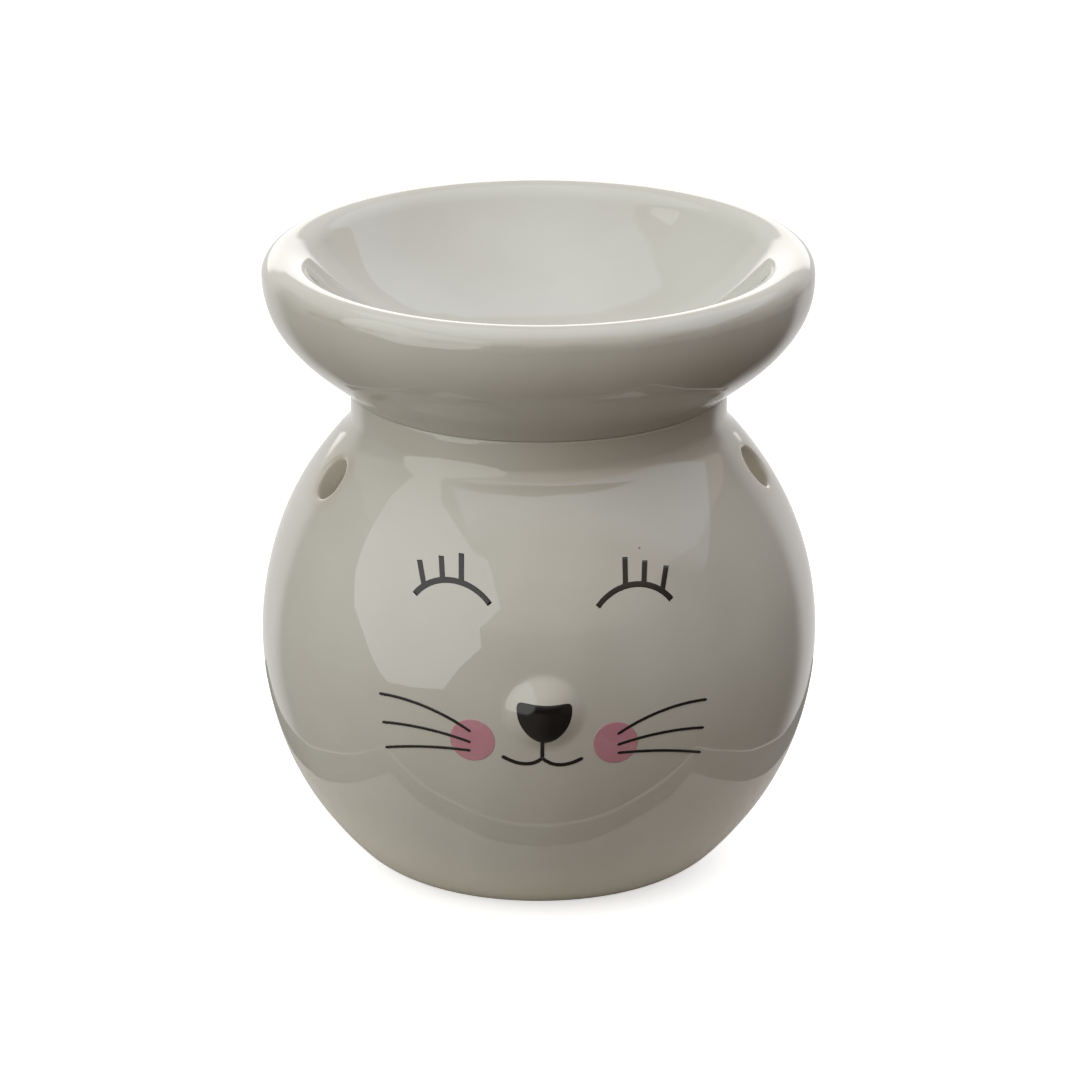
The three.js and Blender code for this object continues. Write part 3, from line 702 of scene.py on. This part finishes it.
# %% Wrapping a flat drawing onto the pot
FACE_FALL = 0.026  # the sheet was laid on with a slight fall to the right
FILM, UNDER = 0.05, -0.06  # top of a film over the glaze, and how far its underside is sunk
TIP_SHARE, PATCH_RINGS = 0.01, 15
STROKE_ACROSS = np.array((1, 0.97, 0.85, 0.4, -0.4, -0.85, -0.97, -1))  # shares of a stroke's half-width
STROKE_LIFT = np.array((0.4, 0.8, 1, 1, 1, 1, 0.8, 0.4))  # shares of the film's top at those places
PATCH_EDGE, PATCH_TOP = (1, 0.993, 0.975), 0.97  # the same soft edge on a patch, and where its flat top begins
SIDES = (("left", -1), ("right", 1))


def on_face(x, up, lift):
    """A place of the flat drawing on the pot: height from the widest ring, angle from the sine x / radius."""
    height = BELLY_HEIGHT + up - FACE_FALL * x
    angle = np.arcsin(x / plain_radius(height))
    return turn(plain_radius(height) + pot_relief(angle, height) + lift, angle, height)


def brush_stroke(path, width, rounded, film=FILM):
    """A film along a flat path of (x, up) points.

    Each cross-section goes over the top from left to right and back underneath. The top sinks to the underside
    at both ends, where a rounded stroke also narrows as a circle does: half-width * sqrt(1 - (1 - s)^2). The share s
    never quite falls to nothing, so a tip stays blunt and its two sides keep apart.
    """
    along = np.gradient(path, axis=0)
    along /= np.linalg.norm(along, axis=1)[:, None]
    left = np.stack((-along[:, 1], along[:, 0]), -1)
    travel = np.concatenate(([0], np.cumsum(np.linalg.norm(np.diff(path, axis=0), axis=1))))
    from_end = np.minimum(travel, travel[-1] - travel) / (width / 2)
    half = width / 2 * (np.sqrt(1 - (1 - np.clip(from_end, TIP_SHARE, 1)) ** 2) if rounded else np.ones(len(path)))
    share = np.concatenate((STROKE_ACROSS, STROKE_ACROSS[::-1]))
    lifts = np.concatenate((STROKE_LIFT * film, np.full(len(STROKE_ACROSS), UNDER)))
    ends = np.concatenate(([0], np.arange(len(path)), [len(path) - 1]))
    place = path[ends, None] + half[ends, None, None] * share[:, None] * left[ends, None]
    sunk = np.tile(lifts, (len(ends), 1))
    sunk[[0, -1]] = UNDER
    return on_face(place[..., 0], place[..., 1], sunk)


def filled_patch(outline, middle, film=FILM):
    """A film inside an anticlockwise outline: rings shrink towards its middle, underneath first and then on top."""
    shares = np.linspace(0, 1, PATCH_RINGS)
    sizes = np.concatenate((shares, PATCH_EDGE, shares[::-1][1:] * PATCH_TOP))
    lifts = np.concatenate((np.full(PATCH_RINGS, UNDER), STROKE_LIFT[:3] * film, np.full(PATCH_RINGS - 1, film)))
    place = middle + sizes[:, None, None] * (outline - middle)
    return on_face(place[..., 0], place[..., 1], lifts[:, None])


def put_print(node, grids, finish):
    """One film from the grids of a print, named after the solid that it stands for."""
    points, quads = join([grid.reshape(-1, 3) for grid in grids], [grid_quads(*grid.shape[:2]) for grid in grids])
    dress(put_piece(node.removesuffix("_print") + "_film", points, quads), finish, "pot", node)


print("the middle of the face is", np.round(on_face(np.zeros(1), np.zeros(1), 0.0), 1), "mm")

# %% [markdown]
# ## Black and pink enamel
# Both enamels melted into the glaze, so they share its gloss. Black looks even, but a transfer is screened in
# fine dots and melts unevenly, so it is a shade browner here and there. The pink lets a little of the white
# below shine through, in soft clouds.

# %% Enamels
def make_enamel(name, colour, cloudy, grain):
    enamel = new_finish(name)
    clouds = enamel.ramp(enamel.noise(220.0, 3.0), 0.3, 0.75)
    screen = enamel.noise(grain, 1.0)
    return enamel.surface({
        "Base Color": enamel.mix(clouds * screen, colour, cloudy),
        "Roughness": 0.10 + 0.08 * screen,
        "Normal": enamel.bump(screen, 0.000006),
        "IOR": 1.52,
    })


black_enamel = make_enamel("black_enamel", (0.010, 0.009, 0.008, 1), (0.022, 0.018, 0.014, 1), 1400.0)
pink_enamel = make_enamel("pink_enamel", (0.50, 0.225, 0.265, 1), (0.57, 0.30, 0.33, 1), 1100.0)
print("enamels:", black_enamel.name, pink_enamel.name)

# %% Closed eyes
EYE_SPREAD, EYE_HEIGHT, EYE_HALF_WIDTH, EYE_SAG, EYE_STROKE = 15.2, 21.2, 6.2, 3.05, 0.9
LASHES = ((13.65, 13.6, 25.4), (16.75, 16.95, 24.6), (19.85, 20.6, 23.4))  # root, tip, height of the tip

lid_radius = (EYE_HALF_WIDTH**2 + EYE_SAG**2) / (2 * EYE_SAG)
lid_span = math.asin(EYE_HALF_WIDTH / lid_radius)
lid_middle = np.array((EYE_SPREAD, EYE_HEIGHT - lid_radius))
swing = np.linspace(-lid_span, lid_span, 48)[:, None]
lid = lid_middle + lid_radius * np.hstack((np.sin(swing), np.cos(swing)))


def lash_path(root, tip, tip_height):
    """A straight lash from the lid's arc, where height = middle + sqrt(radius^2 - x^2), to its tip."""
    root_height = lid_middle[1] + math.sqrt(lid_radius**2 - (root - EYE_SPREAD) ** 2)
    return np.linspace((root, root_height), (tip, tip_height), 12)


for side_name, sign in SIDES:
    strokes = [(lid, FILM)] + [(lash_path(*lash), 0.9 * FILM) for lash in LASHES]
    grids = [brush_stroke(path * (sign, 1), EYE_STROKE, False, film) for path, film in strokes]
    put_print(f"{side_name}_eye_print", grids, black_enamel)

# %% Nose and mouth
NOSE_PRINT_HALF, NOSE_PRINT_TOP, NOSE_PRINT_HEIGHT, NOSE_PRINT_DIP = 4.55, 2.8, 7.2, 0.15
MOUTH_SHIFT, MOUTH_TUCK, MOUTH_STROKE, MOUTH_FORK = -0.33, 0.3, 0.65, (0.0, -7.4)
MOUTH_DIP, MOUTH_CORNER, MOUTH_FILM = (2.95, -8.6), (6.8, -7.35), 0.1


def through(first, second, third, count=40):
    """A smooth path through three points: the quadratic curve that passes the second halfway."""
    corner = 2 * np.asarray(second) - (np.asarray(first) + np.asarray(third)) / 2
    return bend(first, corner, third, count)


dip = NOSE_PRINT_DIP / NOSE_PRINT_HEIGHT
half_nose = np.concatenate((
    cubic(((0, dip), (0.4, dip), (0.55, 0), (0.8, 0)), 24),
    cubic(((0.8, 0), (0.95, 0), (1, 0.06), (1, 0.16)), 12)[1:],
    cubic(((1, 0.16), (1, 0.6), (0.45, 1), (0, 1)), 36)[1:],
)) * (NOSE_PRINT_HALF, -NOSE_PRINT_HEIGHT) + (0, NOSE_PRINT_TOP)
nose_outline = np.concatenate((half_nose * (-1, 1), half_nose[-2:0:-1]))
nose_middle = np.array((0, NOSE_PRINT_TOP - NOSE_PRINT_HEIGHT / 2))
put_print("nose_print", [filled_patch(nose_outline, nose_middle)], black_enamel)

stem = np.linspace((0, NOSE_PRINT_TOP - NOSE_PRINT_HEIGHT + MOUTH_TUCK), MOUTH_FORK, 40)
smile = through(MOUTH_FORK, MOUTH_DIP, MOUTH_CORNER)
mouth_paths = ((stem, MOUTH_FILM), (smile, 0.9 * MOUTH_FILM), (smile * (-1, 1), 0.8 * MOUTH_FILM))
mouth_grids = [brush_stroke(path + (MOUTH_SHIFT, 0), MOUTH_STROKE, True, film) for path, film in mouth_paths]
put_print("mouth_print", mouth_grids, black_enamel)

# %% Cheeks and whiskers
CHEEK_SPREAD, CHEEK_HEIGHT, CHEEK_RADIUS = 11.95, -4.95, 3.75
WHISKER_STROKE, WHISKER_ROOT, WHISKER_BEND, WHISKER_FILM = 0.5, 12.2, 19.7, 0.1
WHISKERS = {  # height of the root, height of the bend, place of the tip
    "upper": (-3.45, -0.05, (27.5, 0.55)),
    "middle": (-5.35, -4.0, (27.0, -4.45)),
    "lower": (-6.85, -7.3, (26.5, -9.05)),
}

round_trip = np.linspace(0, 2 * np.pi, 96, endpoint=False)[:, None]
disc = CHEEK_RADIUS * np.hstack((np.cos(round_trip), np.sin(round_trip)))
for side_name, sign in SIDES:
    middle = np.array((sign * CHEEK_SPREAD, CHEEK_HEIGHT))
    put_print(f"{side_name}_cheek_print", [filled_patch(disc + middle, middle)], pink_enamel)
    for name, (root, bend_height, tip) in WHISKERS.items():
        path = through((WHISKER_ROOT, root), (WHISKER_BEND, bend_height), tip, 64) * (sign, 1)
        stroke = brush_stroke(path, WHISKER_STROKE, True, WHISKER_FILM)
        put_print(f"{side_name}_{name}_whisker", [stroke], black_enamel)

# %% [markdown]
# ## The tealight
# A standard tealight stands on the chamber's floor: a drawn aluminium cup with a rolled rim, paraffin wax that
# shrank a little as it set, and a braided cotton wick. All three are turned shapes. The cup's thin wall gets
# both faces, and the wick's radius has three strands that wind round each other.

# %% Cup and wax
CUP_RADIUS, CUP_HEIGHT, CUP_WALL, CUP_CORNER, CUP_RIM = 19.0, 14.0, 0.4, 1.2, 0.45
CUP_STEP, CUP_FLOOR = 0.5, 0.9  # under and upper side of the raised middle of its bottom
WAX_RADIUS, WAX_HEIGHT, WAX_CORNER, WAX_FOOT = 18.45, 11.0, 1.2, 0.95
WICK_HOLE, WAX_DIMPLE = 1.0, 0.7
TEALIGHT_COLUMNS = 144


def put_turned(name, profile, base):
    """A profile carried round the axis, standing at a height."""
    return put_piece(name, profile.stand(*round_grid(profile.rows, TEALIGHT_COLUMNS), no_relief) + (0, 0, base))


cup_inside = CUP_RADIUS - CUP_WALL
cup = put_turned("tealight_cup_shell", Profile(
    (0, CUP_STEP),
    (6, (CUP_RADIUS - 5, CUP_STEP)),  # the bottom's middle is raised, and ends in a soft step
    (6, (CUP_RADIUS - 4.2, 0), (CUP_RADIUS - 3.4, 0)),
    (3, (CUP_RADIUS - CUP_CORNER, 0)),
    (8, (CUP_RADIUS, 0), (CUP_RADIUS, CUP_CORNER)),
    (14, (CUP_RADIUS, CUP_HEIGHT - 2 * CUP_RIM)),
    (16, arc((CUP_RADIUS, CUP_HEIGHT - CUP_RIM), (CUP_RIM, CUP_RIM), -90, 180)),
    (4, (cup_inside, CUP_HEIGHT - 2 * CUP_RIM), (cup_inside, CUP_HEIGHT - 3 * CUP_RIM)),
    (10, (cup_inside, CUP_FLOOR + CUP_CORNER)),
    (6, (cup_inside, CUP_FLOOR), (cup_inside - CUP_CORNER, CUP_FLOOR)),
    (6, (0, CUP_FLOOR)),
), POT_FLOOR)

wax = put_turned("tealight_wax_block", Profile(
    (WICK_HOLE, WAX_FOOT),
    (5, (WAX_RADIUS - WAX_CORNER, WAX_FOOT)),
    (6, (WAX_RADIUS, WAX_FOOT), (WAX_RADIUS, WAX_FOOT + WAX_CORNER)),
    (8, (WAX_RADIUS, WAX_HEIGHT + 0.5)),
    (12, (WAX_RADIUS - 1.0, WAX_HEIGHT - 0.25), (14.5, WAX_HEIGHT - 0.2)),
    (16, (7.0, WAX_HEIGHT - 0.1), (4.0, WAX_HEIGHT - WAX_DIMPLE)),
    (14, (2.2, WAX_HEIGHT - 1.1), (WICK_HOLE, WAX_HEIGHT + 0.35)),
    (8, (WICK_HOLE, WAX_FOOT)),
), POT_FLOOR)
print("cup and wax stand on", POT_FLOOR, "mm")

# %% Wick
WICK_RADIUS, WICK_LENGTH, WICK_BASE, WICK_PITCH = 0.8, 17.0, 6.5, 7.0
WICK_FREE, WICK_LEAN = 11.0, 0.9  # where the wick leaves the wax, and how far its tip bends over

angle, along = round_grid(np.linspace(0, WICK_LENGTH, 170), 36)
strands = np.abs(np.cos(1.5 * (angle - 2 * np.pi * along / WICK_PITCH)))
plait = 0.5 + 0.5 * np.cos(2 * np.pi * along / 1.4 + 3 * angle)
taper = np.sqrt(fade(np.minimum(along, WICK_LENGTH - along), 0, 0.5))
thickness = WICK_RADIUS * taper * (0.74 + 0.18 * strands + 0.08 * plait)
wick_points = turn(thickness, angle, WICK_BASE + along)
wick_points[..., 0] += WICK_LEAN * fade(along, WICK_FREE, WICK_LENGTH) ** 2
wick = put_piece("wick_braid", wick_points)
print("wick:", len(wick.data.polygons), "faces")

# %% [markdown]
# ## Finishes of the tealight
# Drawn aluminium has fine upright scores from the die, so its roughness is stretched along Z. Paraffin is milky:
# light goes in and comes out a few millimetres on, which subsurface scattering does. The wick is waxed cotton,
# off-white and matt, and the sustainer inside the wax is bright tinplate.

# %% Aluminium, wax, cotton and tinplate
def make_metal(name, colour, stain, stretch, rough):
    metal = new_finish(name)
    scores = metal.noise(1500.0, 2.0, stretch)
    dull = metal.ramp(metal.noise(130.0, 3.0), 0.4, 0.75)
    return metal.surface({
        "Base Color": metal.mix(dull, colour, stain), "Metallic": 1.0,
        "Roughness": rough + 0.14 * scores + 0.08 * dull, "Normal": metal.bump(scores, 0.00001),
    })


def make_wax():
    paraffin = new_finish("wax")
    milky = paraffin.ramp(paraffin.noise(160.0, 3.0), 0.3, 0.8)
    grain = paraffin.noise(900.0)
    return paraffin.surface({
        "Base Color": paraffin.mix(milky, (0.86, 0.84, 0.78, 1), (0.80, 0.78, 0.71, 1)),
        "Roughness": 0.32 + 0.18 * grain, "Normal": paraffin.bump(milky + 0.3 * grain, 0.00006),
        "Subsurface Weight": 0.4, "Subsurface Radius": (0.004, 0.003, 0.002), "Subsurface Scale": 1.0, "IOR": 1.44,
    })


def make_cotton():
    cotton = new_finish("wick_cotton")
    fibres = cotton.noise(5200.0, stretch=(1, 1, 0.25))
    return cotton.surface({
        "Base Color": cotton.mix(fibres, (0.62, 0.58, 0.49, 1), (0.82, 0.79, 0.71, 1)),
        "Roughness": 0.72 + 0.2 * fibres, "Normal": cotton.bump(fibres, 0.00008),
    })


aluminium = make_metal("cup_aluminium", (0.80, 0.81, 0.82, 1), (0.66, 0.67, 0.68, 1), (1, 1, 0.04), 0.22)
tinplate = make_metal("tinplate", (0.62, 0.62, 0.60, 1), (0.50, 0.49, 0.47, 1), (1, 0.05, 1), 0.28)
dress(cup, aluminium, "tealight", "tealight_cup")
dress(wax, make_wax(), "tealight", "tealight_wax")
dress(wick, make_cotton(), "tealight", "wick")
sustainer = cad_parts["wick_sustainer"]
sustainer.data.materials.clear()
sustainer.data.materials.append(tinplate)
print("sustainer keeps its solid, in", tinplate.name)

# %% [markdown]
# ## Studio
# The photograph was taken in a light tent: a bright ceiling, a pale back wall, one large softbox close by at the
# left, and little light from the camera's side. A gloss mirrors all of it, so the tent is drawn as a world with
# firm edges, and the softbox is a glowing cloth. The burner stood on a small pale tile, whose edges show as thin
# lines in the lower belly. The floor that the camera sees is plain and white.

# %% Floor and tile
FLOOR_SIZE, FLOOR_DROP, TILE_DROP = 6.0, 0.0001, 0.0002
TILE_HALF, TILE_FRONT, TILE_BACK = 73.5, -52.5, 95.0  # millimetres from the burner's axis
# the grey band is painted shade along the tile's edge, inside its pale line
TILE_LINE, TILE_BAND = 1.4, (16.0, 7.0)  # pale line along the edge, and the grey band inside it


def put_sheet(name, points, faces, finishes):
    """A sheet that belongs to the studio alone."""
    mesh = bpy.data.meshes.new(name)
    mesh.from_pydata(points, [], faces)
    for finish in finishes:
        mesh.materials.append(finish)
    sheet = bpy.data.objects.new(name, mesh)
    scene.collection.objects.link(sheet)
    return sheet


def flat_rings(name, rectangles, drop, finishes):
    """Flat rectangles (left, front, right, back) in millimetres, one inside the other, each ring with a finish."""
    corners = np.array(rectangles, float)[:, [[0, 1], [2, 1], [2, 3], [0, 3]]].reshape(-1, 2) * MM
    points = np.column_stack((corners, np.full(len(corners), -drop)))
    quads = np.vstack((grid_quads(len(rectangles), 4), np.arange(4) + len(points) - 4))
    sheet = put_sheet(name, points, quads, finishes)
    sheet.data.polygons.foreach_set("material_index", np.minimum(np.arange(len(quads)) // 4, len(finishes) - 1))
    return sheet


def make_paper(name, shade, glow=0.0):
    """Plain matt paper with a faint tooth."""
    paper = new_finish(name)
    tooth = paper.noise(40.0)
    lighter = tuple(min(1.0, 1.04 * x) for x in shade)
    return paper.surface({
        "Base Color": paper.mix(tooth, (*shade, 1), (*lighter, 1)), "Roughness": 0.9,
        "Emission Color": (1, 1, 1, 1), "Emission Strength": glow,
    })


reach = FLOOR_SIZE / MM / 2
floor_paper = make_paper("floor_paper", (0.86, 0.86, 0.86), 0.62)
floor = flat_rings("studio_floor", [(-reach, -reach, reach, reach)], FLOOR_DROP, [floor_paper])
floor.visible_diffuse = floor.visible_glossy = floor.visible_shadow = False

edge = (-TILE_HALF, TILE_FRONT, TILE_HALF, TILE_BACK)
inset = np.array((1, 1, -1, -1)) * TILE_LINE
band = np.array((*TILE_BAND, -TILE_BAND[0], -TILE_BAND[1]))
# the grey ring of the tile is painted shade along its edge, not the tile's own colour
tile_white, tile_shade = make_paper("tile_white", (0.68, 0.638, 0.58)), make_paper("tile_shade", (0.22, 0.205, 0.185))
tile = flat_rings(
    "studio_tile", [edge, edge + inset, edge + inset + band], TILE_DROP, [tile_white, tile_shade, tile_white],
)
tile.visible_camera = tile.visible_shadow = False
print("floor", FLOOR_SIZE, "m wide, tile", 2 * TILE_HALF, "mm wide")

# %% World
PANEL_SLANT, PANEL_STEP = 0.85, 0.6  # slope of the lamp panel's cut corner, and a step in its back edge
HORIZON = 0.05  # lowest z that x and y are divided by
GLOWS = {  # light, then along which axis and from where to where it fades in, for each edge
    "tent": (0.43, ("up", 0.0, 0.5)),
    "ceiling": (0.42, ("width", 1.98, 1.94), ("along", -1.68, -1.64), ("along", 2.3, 2.1)),
    "panel": (0.52, ("across", -0.7, -0.64), ("along", -1.0, -0.5), ("corner", 2.3, 2.2), ("stepped", 0.76, 0.68)),
    "top": (0.12, ("up", 0.82, 0.97)),
    "front": (0.30, ("back", -0.3, -0.7), ("up", 0.14, 0.26)),
    "table": (0.27, ("up", 0.0, -0.2)),
}
SHADES = {"tent": (0.35, 0.0, 0.8), "ceiling": (0.3, 0.1, -0.7), "table": (0.75, -0.5, 0.4)}  # loss from side to side
WALLS = {  # the same as for the glows
    "back": (0.88, ("back", 0.56, 0.80), ("up", -0.8, -0.5)),
    "backdrop": (2.2, ("back", 0.84, 0.92), ("up", 0.40, 0.34), ("up", -0.02, 0.05)),
    "left": (0.25, ("side", -0.45, -0.8), ("up", -0.9, -0.3)),
    "right": (0.17, ("side", 0.45, 0.8), ("up", -0.3, -0.1)),
}
COOL_LIGHT, WARM_LIGHT, SKY_LIGHT = (0.98, 1.0, 0.99, 1), (1.0, 0.825, 0.71, 1), (0.94, 0.99, 1.08, 1)
BACK_WHITE, TABLE_WARMTH = (1.0, 0.98, 0.96, 1), 0.8


def make_tent():
    """Light from each direction (x, y, z): the sum of all glows, or a wall where that is brighter. Ceiling and panel
    are flat overhead, so their edges lie where x / z and y / z have a fixed value."""
    tent = Finish(scene.world or bpy.data.worlds.new("studio"))
    heading = tent.add("TexCoord", out="Generated")
    side, back, up = (tent.add("SeparateXYZ", None, {0: heading}, out=axis) for axis in "XYZ")
    level = up.maths("MAXIMUM", up, HORIZON)
    across, along = side / level, back / level
    axes = {
        "side": side, "back": back, "up": up, "across": across, "along": along,
        "width": across.maths("ABSOLUTE", across), "corner": across + PANEL_SLANT * along,
        "stepped": along - PANEL_STEP * tent.ramp(across, 0.0, 1.0),
    }

    def patch(share, *fades):
        for axis, low, high in fades:
            share = share * tent.ramp(axes[axis], low, high)
        return share

    patches = {name: patch(1.0, *fades) for name, (_, *fades) in GLOWS.items()}
    patches["front"] *= 1 - patches["ceiling"]
    light = 0.0
    for name, (strength, *_) in GLOWS.items():
        loss, low, high = SHADES.get(name, (0.0, 0.0, 1.0))
        light = light + strength * patches[name] * (1 - loss * tent.ramp(side, low, high))
    for wall in WALLS.values():
        light = light.maths("MAXIMUM", light, patch(*wall))
    warm = tent.ramp(side, -0.6, 0.35)
    warm = warm.maths("MAXIMUM", warm, TABLE_WARMTH * patches["table"] * tent.ramp(back, 0.7, 0.45))
    colour = tent.mix(warm, COOL_LIGHT, WARM_LIGHT)
    colour = tent.mix(tent.ramp(back, 0.5, 0.75), colour, BACK_WHITE)
    colour = tent.mix(warm.maths("MAXIMUM", patches["top"], patches["panel"]), colour, SKY_LIGHT)
    seen = tent.add("LightPath", out="Is Camera Ray")
    sky = tent.add("Background", None, {
        "Color": tent.mix(seen, colour, (1, 1, 1, 1)), "Strength": light * (1 - seen) + seen,
    })
    tent.add("OutputWorld", None, {"Surface": sky})
    scene.world = tent.owner


make_tent()
scene.view_settings.view_transform = "Standard"
print("tent set up")

# %% Softbox
SOFTBOX_TURN, SOFTBOX_RISE, SOFTBOX_DISTANCE = math.radians(-56), math.radians(18), 1.3
SOFTBOX_LIGHT, SOFTBOX_AIM = 1.6, (0, 0, 0.05)
SOFTBOX_CORNERS = np.array((  # across and up, for each metre of distance
    (-0.62, 0.82), (-0.62, -0.02), (-0.57, -0.22), (-0.38, -0.38), (-0.16, -0.60), (0.36, -0.59), (0.64, -0.22),
    (0.60, -0.07), (0.69, 0.11), (0.49, 0.43), (0.33, 0.44), (0.08, 0.51), (-0.17, 0.59), (-0.36, 0.80),
))


def softbox_cloth(corners):
    """A flat front cloth square to the burner: middle + distance * (across * east + up * north) for each corner."""
    axis, east, north = compass(SOFTBOX_TURN, SOFTBOX_RISE)
    return SOFTBOX_DISTANCE * (axis + corners[:, :1] * east + corners[:, 1:] * north) + SOFTBOX_AIM


cloth = new_finish("softbox_cloth")
glowing = cloth.add("Emission", None, {"Color": COOL_LIGHT, "Strength": SOFTBOX_LIGHT})
cloth.add("OutputMaterial", None, {"Surface": glowing})
cloth_face = [range(len(SOFTBOX_CORNERS))]
softbox = put_sheet("left_softbox", softbox_cloth(SOFTBOX_CORNERS), cloth_face, [cloth.owner])
softbox.visible_camera = False
print("softbox with", len(SOFTBOX_CORNERS), "corners at", SOFTBOX_DISTANCE, "m")
